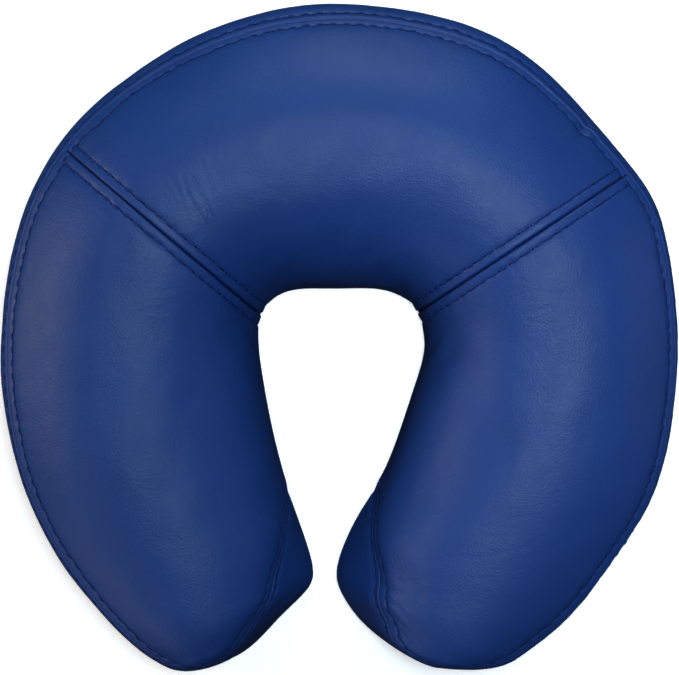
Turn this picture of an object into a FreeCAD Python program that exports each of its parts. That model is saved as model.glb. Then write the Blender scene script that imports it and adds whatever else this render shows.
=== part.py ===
"""Face cradle cushion: a padded crescent that goes on the head rest of a massage table.

The frame: +Z up, +Y towards the crown, the two leg tips towards -Y, and the origin under the middle
of the cushion, on the plane it rests on. The cushion rests on its three fastening strips, at Z = 0.

The shape is one smooth body, lofted through upright sections that fan round the crescent from the
left tip to the right tip. The same sections, set in or out by a distance, give the outside of the
cover, its inside, and the thin layer that the thread stands in. Cutting tools then part the cover
where the real one is sewn. All sizes are in millimetres.
"""

import FreeCAD
import Part
import math
import os

Vector = FreeCAD.Vector

# ---- driving dimensions -------------------------------------------------------------------------

overall_width = 305.0
overall_depth = 302.0
crown_height = 78.0  # top of the padding at the crown, above the rest plane
band_height = 46.0  # side band, from the underside to its seam with the top panels

opening_width = 77.0  # widest part of the face opening
crown_depth = 128.5  # from the back of the crown to the face opening
tip_gap = 10.0  # narrowest gap between the legs
tip_length = 43.0  # from the inner corner of each tip to its end
tip_lean = -7.0  # the tips' inner edges lean this far sideways, as a stuffed cushion does
outer_lean = -2.5  # and their outer edges this far

leather = 1.2  # thickness of the cover
band_bulge = 5.0  # the side band swells this far out beyond its seam with the top panels
base_tuck = 3.0  # and this far beyond its seam with the underside
inner_edge = 4.0  # height of the upright edge round the face opening
tip_setback = 17.0  # the seam at a tip's inner corner lies this far in from the base
taper_above = 46.0  # the band begins this far above that corner, on the inner side of the leg
taper_below = 8.0  # and has its full height this far below it

foam_split = 34.0  # height of the joint between the two foam layers
seam_allowance = 10.0  # width that is turned under at each side of a cheek seam
stitch_offset = 4.5  # from a cheek seam to the row of thread beside it
upper_row_rise = 3.2  # from the band seam up to the row of thread above it
lower_row_drop = 3.9  # from the band seam down to the row of thread below it
thread_width = 0.7
thread_rise = 0.35  # how far a row of thread stands on the cover

strip_thickness = 1.6  # hook and loop strips
strip_width = 25.0
crown_strip_length = 120.0
leg_strip_length = 100.0
strip_margin = 2.5  # from a strip's edge to its row of thread
strip_groove = 0.8  # how deep that row is sunk into the strip's face
strip_thread = 0.5  # thickness of the thread in the groove

# ---- places that follow from them ---------------------------------------------------------------

half_width = overall_width / 2
half_depth = overall_depth / 2
half_opening = opening_width / 2
half_gap = tip_gap / 2
base_z = strip_thickness  # lower face of the underside panel
seam_z = base_z + band_height
opening_top = half_depth - crown_depth
tip_corner = tip_length - half_depth
slot_length = opening_top - tip_corner
taper_start = tip_corner + taper_above
taper_slope = (band_height - inner_edge) / (taper_above + taper_below)
crown_strip_y = (half_depth + opening_top) / 2
BEYOND = overall_width  # further out than anything in the model

# ---- the outline --------------------------------------------------------------------------------

# Each station is one section of the right half, from the crown to the tip.
# outer: its outer end, as shares of the half width and the half depth.
# inner: its inner end. Round the opening's head: a share of the half opening, and a drop below the
#        opening's edge. Down the leg: a share of the widening above the tip gap, and a share of the
#        way down to the tip's corner. Round the tip: shares of the way out from that corner to the
#        last outer end, and down the tip's length.
# setback: share of tip_setback. rise: share of the padding's rise above the band seam.
HEAD, LEG, TIP = "head", "leg", "tip"
STATIONS = [
    {"outer": (0.000, 1.000), "inner": (HEAD, 0.00, 0.0), "setback": 0.00, "rise": 1.00},
    {"outer": (0.393, 0.918), "inner": (HEAD, 0.45, 0.5), "setback": 0.00, "rise": 1.00},
    {"outer": (0.656, 0.753), "inner": (HEAD, 0.79, 3.0), "setback": 0.00, "rise": 0.98},
    {"outer": (0.828, 0.559), "inner": (HEAD, 0.965, 10.5), "setback": 0.00, "rise": 0.96},
    {"outer": (0.960, 0.285), "inner": (LEG, 1.00, 0.19), "setback": 0.00, "rise": 0.93},
    {"outer": (1.000, -0.026), "inner": (LEG, 0.93, 0.34), "setback": 0.00, "rise": 0.90},
    {"outer": (0.967, -0.318), "inner": (LEG, 0.75, 0.52), "setback": 0.00, "rise": 0.86},
    {"outer": (0.877, -0.583), "inner": (LEG, 0.45, 0.70), "setback": 0.25, "rise": 0.81},
    {"outer": (0.734, -0.785), "inner": (LEG, 0.13, 0.88), "setback": 0.75, "rise": 0.73},
    {"outer": (0.602, -0.918), "inner": (TIP, 0.0, 0.0), "setback": 1.00, "rise": 0.62},
    {"outer": (0.528, -0.964), "inner": (TIP, 0.12, -0.33), "setback": 0.80, "rise": 0.50},
    {"outer": (0.462, -0.990), "inner": (TIP, 0.36, -0.67), "setback": 0.40, "rise": 0.34},
    {"outer": (0.395, -1.000), "inner": (TIP, 0.72, -0.95), "setback": 0.10, "rise": 0.14},
]
SEAM_STATION = STATIONS[3]  # the crown panel and the cheek panels meet at this section
LEG_STATIONS = STATIONS[5], STATIONS[8]  # the leg's strip lies between the middles of these
RIDGE = 0.46  # the padding is highest this share of the way in from the outer seam
OUTER_RISE = 2.2  # the larger this is, the steeper the padding starts at the outer seam
INNER_FALL = 2.4  # the larger this is, the later the padding turns down to the face opening
LOW, FULL = 0.28, 0.55  # shares of the band's height: it has mostly swelled out, and has fully
LOW_TUCK = 0.3  # share of base_tuck that is left at LOW
SEAM_DROP = 0.4  # an inset surface meets the band seam lower, by this share of the inset
ROOM_TO_SWELL = 20.0  # a section narrower than this swells less
LEAN_START, LEAN_RANGE = 0.2, 0.6  # the legs begin to lean here, and over this much of half_depth


def lean_share(y):
    """How much of their lean the legs have at y: none above the waist, all of it at the tips."""
    share = min(1.0, max(0.0, (-LEAN_START - y / half_depth) / LEAN_RANGE))
    return share * share * (3 - 2 * share)


def inner_end(kind, a, b):
    if kind == HEAD:
        return Vector(a * half_opening, opening_top - b, 0)
    if kind == LEG:
        return Vector(half_gap + a * (half_opening - half_gap), opening_top - b * slot_length, 0)
    reach = STATIONS[-1]["outer"][0] * half_width - half_gap
    return Vector(half_gap + a * reach, tip_corner + b * tip_length, 0)


def ends(station, side):
    """A section's outer and inner end in plan, on side +1 (right) or -1 (left)."""
    share_x, share_y = station["outer"]
    outer = Vector(share_x * half_width, share_y * half_depth, 0)
    inner = inner_end(*station["inner"])
    outer.x = side * outer.x + outer_lean * lean_share(outer.y)
    inner.x = side * inner.x + tip_lean * lean_share(inner.y)
    return [outer, inner]


def middle(station, side):
    outer, inner = ends(station, side)
    return (outer + inner) / 2


def inner_band_height(y):
    """Height of the side band on the inner side of a leg, where it tapers away up the leg."""
    return min(band_height, max(inner_edge, inner_edge + (taper_start - y) * taper_slope))


# ---- the body -----------------------------------------------------------------------------------


def profile(width, setback, top_z, inner_z, inset):
    """A section's four sides as (u, z) points, with u running inwards from the outer end."""
    swell = min(1.0, width / ROOM_TO_SWELL)
    base_u = base_tuck * swell + inset
    seam_u = band_bulge * swell + inset
    seam = seam_z - SEAM_DROP * inset
    top = top_z - inset
    bottom = base_z + inset
    last = width - setback - inset
    ridge = seam_u + RIDGE * (last - seam_u)
    band = [
        (base_u, bottom),
        (inset + LOW_TUCK * (base_u - inset), base_z + LOW * band_height),
        (inset, base_z + FULL * band_height),
        (seam_u, seam),
    ]
    rise = [
        (seam_u + t * (ridge - seam_u), seam + (top - seam) * (1 - (1 - t) ** OUTER_RISE))
        for t in (0.0, 0.2, 0.45, 0.72)
    ]
    fall = [
        (ridge + t * (last - ridge), inner_z + (top - inner_z) * (1 - t**INNER_FALL) ** 0.5)
        for t in (0.0, 0.35, 0.62, 0.81, 0.92, 0.98, 1.0)
    ]
    inner_wall = [(last, inner_z), (width - inset, bottom)]
    underside = [(width - inset, bottom), (base_u, bottom)]
    return [band, rise + fall, inner_wall, underside]


def spline(points):
    """A spline with evenly numbered knots, the same in every section, so that the loft stays light."""
    curve = Part.BSplineCurve()
    last = len(points) - 1
    curve.interpolate(Points=points, Parameters=[i / last for i in range(last + 1)])
    return curve.toShape()


def section(station, side, inset):
    """The closed wire of one section, its surface set in by inset."""
    outer, inner = ends(station, side)
    if station is STATIONS[-1]:  # the end faces are set in as well
        outer.y += inset
        inner.y += inset
    along = inner - outer
    width = along.Length
    along.normalize()
    setback = station["setback"] * tip_setback
    inner_z = base_z + inner_band_height((inner - along * setback).y)
    top_z = seam_z + station["rise"] * (crown_height - seam_z)
    sides = profile(width, setback, top_z, inner_z, inset)
    placed = [[outer + along * u + Vector(0, 0, z) for u, z in points] for points in sides]
    return Part.Wire([spline(p) if len(p) > 2 else Part.makeLine(*p) for p in placed])


def body(inset):
    """The whole crescent with its surface set in by inset, or set out where that is negative."""
    left = [(station, -1) for station in reversed(STATIONS[1:])]
    right = [(station, 1) for station in STATIONS]
    return Part.makeLoft([section(s, side, inset) for s, side in left + right], True, False)


# ---- cutting tools ------------------------------------------------------------------------------


def prism(plan, low, high):
    """An upright prism over a plan outline."""
    points = [Vector(p[0], p[1], low) for p in plan]
    face = Part.Face(Part.makePolygon(points + points[:1]))
    return face.extrude(Vector(0, 0, high - low))


def slab(low, high):
    corners = [(x, y) for x, y in ((-1, -1), (1, -1), (1, 1), (-1, 1))]
    return prism([(x * BEYOND, y * BEYOND) for x, y in corners], low, high)


def seam_strip(side, near, far):
    """An upright slab along a cheek seam, from near to far off its plane, + towards the crown."""
    outer, inner = ends(SEAM_STATION, side)
    along = (outer - inner).normalize()
    across = Vector(-along.y * side, along.x * side, 0)
    start, stop = inner - along * opening_width / 4, outer + along * BEYOND
    corners = [start + across * near, stop + across * near, stop + across * far, start + across * far]
    return prism(corners, -BEYOND, BEYOND)


def crown_sector():
    """Everything on the crown's side of the two cheek seams."""
    plan = []
    for side in (1, -1):
        outer, inner = ends(SEAM_STATION, side)
        along = (outer - inner).normalize()
        line = [inner - along * opening_width / 4, outer + along * BEYOND]
        plan += line if side > 0 else line[::-1]
    return prism(plan, -BEYOND, BEYOND)


def band_zone(lift):
    """Everything below the seam between the side band and the top panels, with that seam lifted."""
    top = seam_z + lift
    spine = [middle(s, -1) for s in reversed(STATIONS[1:])] + [middle(s, 1) for s in STATIONS]
    far = [(BEYOND, -BEYOND), (BEYOND, BEYOND), (-BEYOND, BEYOND), (-BEYOND, -BEYOND)]
    tails = [(spine[-1].x, -BEYOND)], [(spine[0].x, -BEYOND)]
    zone = prism([tuple(p)[:2] for p in spine] + tails[0] + far + tails[1], -BEYOND, top)
    toe = base_z + inner_edge + lift
    slope = [
        Vector(0, taper_start, -BEYOND),
        Vector(0, taper_start, toe),
        Vector(0, taper_start - (top - toe) / taper_slope, top),
        Vector(0, -BEYOND, top),
        Vector(0, -BEYOND, -BEYOND),
    ]
    wedge = Part.Face(Part.makePolygon(slope + slope[:1]))
    wedge.translate(Vector(spine[0].x, 0, 0))
    return zone.fuse(wedge.extrude(Vector(spine[-1].x - spine[0].x, 0, 0)))


# ---- the pieces ---------------------------------------------------------------------------------


def cover_and_foam():
    """The five pieces of the cover, and the two foam layers that fill it."""
    outside, inside = body(0.0), body(leather)
    shell = outside.cut(inside)
    floor = slab(-BEYOND, base_z + leather)
    sides = shell.cut(floor)
    zone = band_zone(0.0)
    sector = crown_sector()
    tops = sides.cut(zone)
    under_layer = inside.cut(body(2 * leather)).cut(zone).cut(slab(-BEYOND, base_z + inner_edge))
    pieces = {
        "underside_panel": shell.common(floor),
        "side_band": sides.common(zone),
        "crown_top_panel": tops.common(sector),
    }
    turned = []
    for side, name in ((1, "right"), (-1, "left")):
        edge = side * BEYOND
        half = prism([(0, -BEYOND), (edge, -BEYOND), (edge, BEYOND), (0, BEYOND)], -BEYOND, BEYOND)
        cheek = tops.cut(sector).common(half)
        turned_crown = under_layer.common(seam_strip(side, 0, seam_allowance)).common(half)
        turned_cheek = under_layer.common(seam_strip(side, -seam_allowance, 0)).common(half)
        pieces["crown_top_panel"] = pieces["crown_top_panel"].fuse(turned_crown)
        pieces[name + "_cheek_panel"] = cheek.fuse(turned_cheek)
        turned += [turned_crown, turned_cheek]
    foam = inside.cut(turned)
    pieces["support_foam"] = foam.common(slab(-BEYOND, foam_split))
    pieces["comfort_foam"] = foam.common(slab(foam_split, BEYOND))
    return pieces


def cover_stitching():
    """The rows of thread that show: beside the cheek seams, and above and below the band seam."""
    layer = body(-thread_rise).cut(body(0.0)).cut(slab(-BEYOND, base_z + inner_edge))
    half = thread_width / 2
    above = layer.cut(band_zone(upper_row_rise + half))
    pieces = {}
    for side, name in ((1, "right"), (-1, "left")):
        for offset, which in ((stitch_offset, "crown"), (-stitch_offset, "cheek")):
            row = above.common(seam_strip(side, offset - half, offset + half))
            pieces[f"{name}_seam_stitching_{which}_side"] = row
    for lift, which in ((upper_row_rise, "upper"), (-lower_row_drop, "lower")):
        row = band_zone(lift + half).cut(band_zone(lift - half))
        pieces[f"band_stitching_{which}"] = layer.common(row)
    return pieces


def rectangle(length, width, low, high):
    a, b = length / 2, width / 2
    return prism([(-a, -b), (a, -b), (a, b), (-a, b)], low, high)


def fastening_strips():
    """Hook and loop strips on the underside, each with a sunk rectangle of thread."""
    places = {"crown_strip": (Vector(0, crown_strip_y, 0), 0.0, crown_strip_length)}
    for side, name in ((1, "right"), (-1, "left")):
        upper, lower = (middle(s, side) for s in LEG_STATIONS)
        along = upper - lower
        turn = math.degrees(math.atan2(along.y, along.x))
        places[name + "_leg_strip"] = ((upper + lower) / 2, turn, leg_strip_length)
    pieces = {}
    for name, (place, angle, length) in places.items():
        inner = [length - 2 * strip_margin, strip_width - 2 * strip_margin]
        outline = rectangle(*inner, 0, strip_groove)
        groove = outline.cut(rectangle(*[s - 2 * thread_width for s in inner], 0, strip_groove))
        strip = rectangle(length, strip_width, 0, strip_thickness).cut(groove)
        row = groove.common(rectangle(*inner, strip_groove - strip_thread, strip_groove))
        for shape in (strip, row):
            shape.Placement = FreeCAD.Placement(place, FreeCAD.Rotation(Vector(0, 0, 1), angle))
        pieces[name] = strip
        pieces[name + "_stitching"] = row
    return pieces


def main():
    os.makedirs("parts", exist_ok=True)
    pieces = {**cover_and_foam(), **cover_stitching(), **fastening_strips()}
    for name, shape in pieces.items():
        shape.exportStep(f"parts/{name}.step")
        print(name, "solids", len(shape.Solids), "valid", shape.isValid(), "volume", round(shape.Volume))


main()
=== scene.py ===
"""Looks of the face cradle cushion: sewn leather cover, foam layers, fastening strips and thread.

Shapes are worked out in millimetres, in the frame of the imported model, and become metres only when
a mesh is made. The cover is described by two closed outlines seen from above. The silhouette runs
round the widest part of the cushion, and the seam outline is where the top panels meet the side
band. Both are numbered alike: 0 at the middle of the crown, 14 at the right tip, 28 at the middle
of the face opening's edge, 42 at the left tip and 56 back at the crown. The left half may also be
counted backwards from the crown, so that the left tip is -14.
"""

import math

import bmesh
import bpy
import numpy as np
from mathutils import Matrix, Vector, noise


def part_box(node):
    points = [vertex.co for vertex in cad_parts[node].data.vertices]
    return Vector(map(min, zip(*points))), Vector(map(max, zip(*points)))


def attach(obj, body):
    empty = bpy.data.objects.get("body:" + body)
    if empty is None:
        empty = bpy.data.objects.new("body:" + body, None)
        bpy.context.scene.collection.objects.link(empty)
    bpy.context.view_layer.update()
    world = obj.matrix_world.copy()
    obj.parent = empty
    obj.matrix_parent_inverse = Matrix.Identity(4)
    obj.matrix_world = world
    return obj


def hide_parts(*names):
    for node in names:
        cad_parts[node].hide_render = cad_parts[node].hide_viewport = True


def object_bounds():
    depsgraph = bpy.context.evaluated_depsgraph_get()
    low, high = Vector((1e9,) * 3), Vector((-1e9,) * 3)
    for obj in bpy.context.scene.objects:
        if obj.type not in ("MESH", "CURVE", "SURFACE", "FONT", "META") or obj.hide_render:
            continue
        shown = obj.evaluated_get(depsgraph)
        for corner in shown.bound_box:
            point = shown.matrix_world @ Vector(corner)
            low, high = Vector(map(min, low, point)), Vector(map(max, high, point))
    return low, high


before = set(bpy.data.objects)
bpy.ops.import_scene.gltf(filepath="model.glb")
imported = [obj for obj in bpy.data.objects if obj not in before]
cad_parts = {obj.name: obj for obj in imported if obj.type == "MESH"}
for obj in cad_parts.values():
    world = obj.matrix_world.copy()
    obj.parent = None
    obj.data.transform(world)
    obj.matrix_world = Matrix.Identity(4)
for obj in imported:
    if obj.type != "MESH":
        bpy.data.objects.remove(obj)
cad_low, cad_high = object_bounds()

MM = 0.001
HALF_WIDTH = (cad_high.x - cad_low.x) / 2 / MM
HALF_DEPTH = (cad_high.y - cad_low.y) / 2 / MM
MIDDLE_X = (cad_high.x + cad_low.x) / 2 / MM
MIDDLE_Y = (cad_high.y + cad_low.y) / 2 / MM
BASE_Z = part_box("underside_panel")[0].z / MM
SEAM_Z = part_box("side_band")[1].z / MM
CROWN_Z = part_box("crown_top_panel")[1].z / MM

LEATHER = 1.2
STITCH_PITCH = 6.1
ROW_OFFSET = 4.5  # from a cheek seam to each of its rows of thread
UPPER_ROW = 4.6  # from the band seam up to its row of thread, along the leather
LOWER_ROW = 4.6  # and down to the other row
INNER_SHIFT = 2.4  # from the tips inwards the upper row lies this much further from the seam

# ---- outlines ----

# One row for each station from the crown to a tip: the silhouette's outer point, then its inner
# point, as shares of the half width and half depth. The stuffed cushion isn't quite symmetric.
RIGHT = [
    ((0.000, 1.000), (0.000, 0.149)),
    ((0.387, 0.930), (0.111, 0.148)),
    ((0.643, 0.764), (0.190, 0.123)),
    ((0.869, 0.503), (0.233, 0.076)),
    ((0.964, 0.301), (0.254, 0.007)),
    ((0.999, 0.020), (0.252, -0.060)),
    ((0.984, -0.238), (0.227, -0.146)),
    ((0.925, -0.470), (0.188, -0.265)),
    ((0.816, -0.656), (0.131, -0.411)),
    ((0.689, -0.821), (0.052, -0.543)),
    ((0.584, -0.914), (-0.009, -0.689)),
    ((0.505, -0.970), (0.007, -0.785)),
    ((0.433, -0.991), (0.085, -0.884)),
    ((0.374, -0.997), (0.216, -0.975)),
    ((0.302, -0.997), (0.302, -0.997)),
]
LEFT = [
    ((0.000, 1.000), (0.000, 0.149)),
    ((-0.367, 0.927), (-0.111, 0.148)),
    ((-0.636, 0.772), (-0.190, 0.125)),
    ((-0.830, 0.578), (-0.233, 0.070)),
    ((-0.948, 0.334), (-0.244, 0.007)),
    ((-0.999, 0.033), (-0.240, -0.060)),
    ((-0.988, -0.225), (-0.226, -0.152)),
    ((-0.934, -0.450), (-0.202, -0.278)),
    ((-0.839, -0.646), (-0.167, -0.417)),
    ((-0.718, -0.808), (-0.125, -0.543)),
    ((-0.613, -0.917), (-0.079, -0.685)),
    ((-0.544, -0.966), (-0.095, -0.768)),
    ((-0.498, -0.990), (-0.177, -0.851)),
    ((-0.466, -0.999), (-0.289, -0.957)),
    ((-0.413, -1.000), (-0.413, -1.000)),
]
TIP = len(RIGHT) - 1  # number of the station at a tip
CHEEK_SEAM = 3  # number of the station that a cheek seam runs along
INNER = 2 * TIP  # number of the middle of the opening's edge
ROUND = 4 * TIP

# How far the band seam lies inside the silhouette at each station, on the outer side.
RIGHT_INSET = [8.5, 8.0, 6.8, 4.4, 3.2, 2.6, 2.4, 2.2, 2.2, 2.4, 2.6, 2.8, 2.9, 3.0, 3.2]
LEFT_INSET = [8.5, 8.0, 6.6, 5.0, 4.4, 4.0, 3.8, 3.6, 3.5, 3.4, 3.3, 3.2, 3.1, 3.0, 3.2]
# The band seam on the inner side of each leg, from station 9 to the tip, as shares like those above.
RIGHT_INNER_SEAM = [(0.100, -0.563), (0.118, -0.735), (0.133, -0.828), (0.159, -0.901), (0.226, -0.951)]
LEFT_INNER_SEAM = [
    (-0.160, -0.559), (-0.195, -0.735), (-0.236, -0.8245), (-0.282, -0.891), (-0.338, -0.944),
]
TAPER = TIP - 1 - len(RIGHT_INNER_SEAM)  # the last station whose top panel reaches the underside
INNER_SEAM_HEIGHT = [0.50, 0.86, 0.96, 1.0, 1.0]  # shares of the band's height, at the same stations
OPENING_LIP = 0.4  # height of the band seam above the underside, elsewhere on the inner side

# Height of the padding above the band seam at each station, as a share of its height at the crown.
RISE = [1.0, 1.0, 0.99, 0.97, 0.94, 0.91, 0.87, 0.83, 0.78, 0.71, 0.62, 0.52, 0.40, 0.25, 0.0]
# How late the padding turns down to its inner edge: 0.5 is a waterfall, 1 a plain slope.
ROLL = [0.5, 0.5, 0.5, 0.5, 0.5, 0.5, 0.5, 0.5, 0.54, 0.62, 0.72, 0.8, 0.85, 0.9, 0.9]
RIDGE = 0.46  # the padding is highest this share of the way in
OUTER_ROUNDING, INNER_ROUNDING = 2.2, 2.4  # how full the padding is on each side of the ridge


def scaled(share):
    """A point in millimetres from shares of the half width and half depth."""
    return (MIDDLE_X + share[0] * HALF_WIDTH, MIDDLE_Y + share[1] * HALF_DEPTH)


def loop_of(right_outer, right_inner, left_inner, left_outer):
    """One value for each number of an outline, from lists that run from the crown to a tip."""
    return np.array(
        list(right_outer) + list(right_inner)[-2::-1] + list(left_inner)[1:] + list(left_outer)[-2:0:-1]
    )


def curve_through(values, slopes):
    """A closed curve with these values and slopes, as a function of the outline's number."""
    n = len(values)

    def at(number):
        number = np.asarray(number, float) % n
        i = np.minimum(number.astype(int), n - 1)
        t = (number - i)[..., None]
        j = (i + 1) % n
        a, b, da, db = values[i], values[j], slopes[i], slopes[j]
        return (
            (2 * t**3 - 3 * t**2 + 1) * a + (t**3 - 2 * t**2 + t) * da
            + (3 * t**2 - 2 * t**3) * b + (t**3 - t**2) * db
        )

    return at


def smooth_loop(values):
    """A closed curve through the values, smooth in its bending as well."""
    values = np.asarray(values, float)
    values = values.reshape(len(values), -1)
    n = len(values)
    system = 4 * np.eye(n) + np.roll(np.eye(n), 1, 0) + np.roll(np.eye(n), -1, 0)
    slopes = np.linalg.solve(system, 3 * (np.roll(values, -1, 0) - np.roll(values, 1, 0)))
    return curve_through(values, slopes)


def level_loop(values):
    """A closed curve through the values that never overshoots, and stays level where they do."""
    values = np.asarray(values, float)
    values = values.reshape(len(values), -1)
    ahead = np.roll(values, -1, 0) - values
    behind = values - np.roll(values, 1, 0)
    alike = ahead * behind > 0
    slopes = np.where(alike, 2 * ahead * behind / np.where(alike, ahead + behind, 1.0), 0.0)
    return curve_through(values, slopes)


def symmetric(values):
    """A smooth function of the station, alike on both legs, with an even end at the crown."""
    return smooth_loop(list(values) + list(values)[-2:0:-1])


def unit(v):
    return v / np.maximum(np.linalg.norm(v, axis=-1, keepdims=True), 1e-9)


def side_points(stations, end):
    """The outer points, end 0, or the inner points, end 1, of one half of the silhouette."""
    return [scaled(station[end]) for station in stations]


silhouette = smooth_loop(
    loop_of(side_points(RIGHT, 0), side_points(RIGHT, 1), side_points(LEFT, 1), side_points(LEFT, 0))
)


def inward(number):
    """The silhouette's normal, pointing into the cushion."""
    ahead = silhouette(np.asarray(number) + 0.02) - silhouette(np.asarray(number) - 0.02)
    return unit(np.stack([ahead[..., 1], -ahead[..., 0]], -1))


def make_seam_outline():
    numbers = np.arange(ROUND)
    rim = silhouette(numbers)
    insets = loop_of(RIGHT_INSET, [0.0] * (TIP + 1), [0.0] * (TIP + 1), LEFT_INSET)
    insets[TIP], insets[ROUND - TIP] = RIGHT_INSET[-1], LEFT_INSET[-1]
    points = rim + inward(numbers) * insets[:, None]
    for i, (right, left) in enumerate(zip(RIGHT_INNER_SEAM, LEFT_INNER_SEAM)):
        points[INNER - (TAPER + 1 + i)] = scaled(right)
        points[INNER + (TAPER + 1 + i)] = scaled(left)
    inset = level_loop(points - rim)
    return lambda number: silhouette(number) + inset(number)


def make_seam_height():
    band = SEAM_Z - BASE_Z
    inner = [OPENING_LIP] * (TAPER + 1) + [share * band for share in INNER_SEAM_HEIGHT] + [band]
    outer = [band] * (TIP + 1)
    return level_loop(BASE_Z + loop_of(outer, inner, inner, outer))


seam_outline = make_seam_outline()
seam_height = make_seam_height()
rise = symmetric(RISE)
roll = symmetric(ROLL)


# ---- the smooth cover ----


def inner_number(k):
    """The outline's number at the inner end of the section at k, which runs from -14 to 14."""
    k = np.asarray(k, float)
    return np.where(k < 0, -INNER, INNER) - k


def lip_height(number):
    return np.maximum(seam_height(number)[..., 0], BASE_Z + OPENING_LIP)


def top_profile(k, t):
    """Points of the top panels: k numbers the sections, t runs from the outer seam to the inner."""
    a, b = seam_outline(k), seam_outline(inner_number(k))
    za, zb = lip_height(k), lip_height(inner_number(k))
    crest = SEAM_Z + rise(np.abs(k))[..., 0] * (CROWN_Z - SEAM_Z)
    up = np.clip(t / RIDGE, 0, 1)
    down = np.clip((t - RIDGE) / (1 - RIDGE), 0, 1)
    outer = za + (crest - za) * (1 - (1 - up) ** OUTER_ROUNDING)
    inner = zb + (crest - zb) * (1 - down**INNER_ROUNDING) ** roll(np.abs(k))[..., 0]
    xy = a + (b - a) * t[..., None]
    return np.concatenate([xy, np.where(t < RIDGE, outer, inner)[..., None]], -1)


def even_rows(dense, shares):
    """Resamples each column of points at shares of its length. Also gives the distances along it."""
    steps = np.linalg.norm(np.diff(dense, axis=1), axis=2)
    lengths = np.concatenate([np.zeros((len(dense), 1)), np.cumsum(steps, 1)], 1)
    rows = np.empty((len(dense), len(shares), 3))
    for i, (column, length) in enumerate(zip(dense, lengths)):
        for axis in range(3):
            rows[i, :, axis] = np.interp(shares * length[-1], length, column[:, axis])
    return rows, shares * lengths[:, -1:], lengths[:, -1:]


# Distances from a seam of the first lines of a fine mesh, where the grooves and dips are.
NEAR_SEAM = [0, 0.35, 0.8, 1.3, 1.9, 2.6, 3.4, 4.2, 5.0, 5.8, 6.7, 7.8, 9.1, 10.5]


def graded(length, step, fine_end=True):
    """Distances from 0 to length, close together at the start and, if fine_end, at the end."""
    near = np.array([d for d in NEAR_SEAM if d < length / 2])
    last = length - near[-1] if fine_end else length
    count = max(2, int(round((last - near[-1]) / step)) + 1)
    between = np.linspace(near[-1], last, count)
    ends = [near[:-1], between] + ([length - near[-2::-1]] if fine_end else [])
    return np.concatenate(ends)


def arc_table(curve, low, high):
    """The number and the length along a curve, measured from number 0, for interpolation."""
    numbers = np.linspace(low, high, 4001)
    steps = np.linalg.norm(np.diff(curve(numbers), axis=0), axis=1)
    lengths = np.concatenate([[0], np.cumsum(steps)])
    return numbers, lengths - np.interp(0, numbers, lengths)


SILHOUETTE_ARC = arc_table(silhouette, -INNER, INNER)
SEAM_ARC = arc_table(seam_outline, -INNER, INNER)


def seam_position(number):
    return np.interp(number, *SEAM_ARC)


def columns_between(k0, k1, step, fine_end=True):
    """Section numbers from k0 to k1, spaced by their distance along the silhouette."""
    s0, s1 = np.interp([k0, k1], *SILHOUETTE_ARC)
    distances = graded(abs(s1 - s0), step, fine_end)
    return np.interp(s0 + np.sign(s1 - s0) * distances, SILHOUETTE_ARC[1], SILHOUETTE_ARC[0])


def row_shares(length, step):
    """Where the rows of a fine mesh lie, as shares of a column of this length."""
    return graded(length, step) / length


TOP_ROWS = row_shares(190.0, 1.6)
BAND_ROWS = row_shares(48.0, 2.2)
BASE_ROWS = row_shares(120.0, 5.0)
SMOOTH_T = np.sin(np.linspace(0, 1, 500) * math.pi / 2) ** 2


def top_sections(k):
    """The top panels' sections at k, in many points each."""
    return top_profile(k[:, None], SMOOTH_T[None, :] + 0 * k[:, None])


def normals_of(grid):
    """Unit normals of a grid whose columns run clockwise and whose rows run down or outwards."""
    n = np.cross(np.gradient(grid, axis=0), np.gradient(grid, axis=1))
    flat = np.linalg.norm(n, axis=2) < 1e-7
    if flat[-1].all():
        n[-1] = n[-2]
    if flat[0].all():
        n[0] = n[1]
    return unit(n)


# ---- how sewing and stuffing shape the leather ----


def bell(x, width):
    return np.exp(-((x / width) ** 2))


def ramp(x, low, high):
    t = np.clip((x - low) / (high - low), 0, 1)
    return t * t * (3 - 2 * t)


def wander(position, wavelength, seed):
    """Smooth noise from -1 to 1 along a line."""
    rng = np.random.default_rng(seed)
    total = np.zeros_like(position)
    for factor in (0.6, 1.0, 1.7):
        phase = rng.uniform(0, 2 * math.pi)
        total += np.sin(2 * math.pi * position / (wavelength * factor) + phase)
    return total / 3


# Beside a seam: each depth comes with its width.
GROOVE, GROOVE_WIDTH = 1.35, 0.62  # at the seam itself
TRACK, DIP, TRACK_WIDTH = 0.30, 0.42, 0.7  # under the thread, and deeper at each needle hole
DRAWN, DRAWN_WIDTH = 0.40, 3.0  # the leather that the thread pulls down
RIPPLE, RIPPLE_LENGTH = 0.22, 8.5  # unevenness along the row

# Where the row above the band seam is drawn inwards: station, by how much, and over what length.
PUCKERS = [
    (-2.45, 2.0, 9.0), (-3.35, 1.6, 8.0), (2.42, 1.6, 6.5),
    (1.35, 0.7, 9.0), (-1.2, 0.6, 12.0), (4.3, 0.8, 9.0),
]
KINK = 2.42  # a small fold crosses the band seam at this station
KINK_DEPTH, KINK_RIDGE, KINK_SLANT = 1.5, 0.7, 0.25  # its depth, the ridge beside it, its slant
SHIFT_START, SHIFT_END = TIP - 2.5, TIP - 0.5  # the stations between which the upper row moves inwards


def upper_row(position):
    """Distance of the upper row of thread from the band seam."""
    row = UPPER_ROW + 0.35 * wander(position, 21.0, 3)
    for side in (1, -1):
        start, end = (side * seam_position(side * station) for station in (SHIFT_START, SHIFT_END))
        row = row + INNER_SHIFT * ramp(side * position, start, end)
    for station, depth, length in PUCKERS:
        row = row + depth * bell(position - seam_position(station), length)
    return row


def lower_row(position):
    return LOWER_ROW + 0.25 * wander(position, 26.0, 4)


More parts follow.
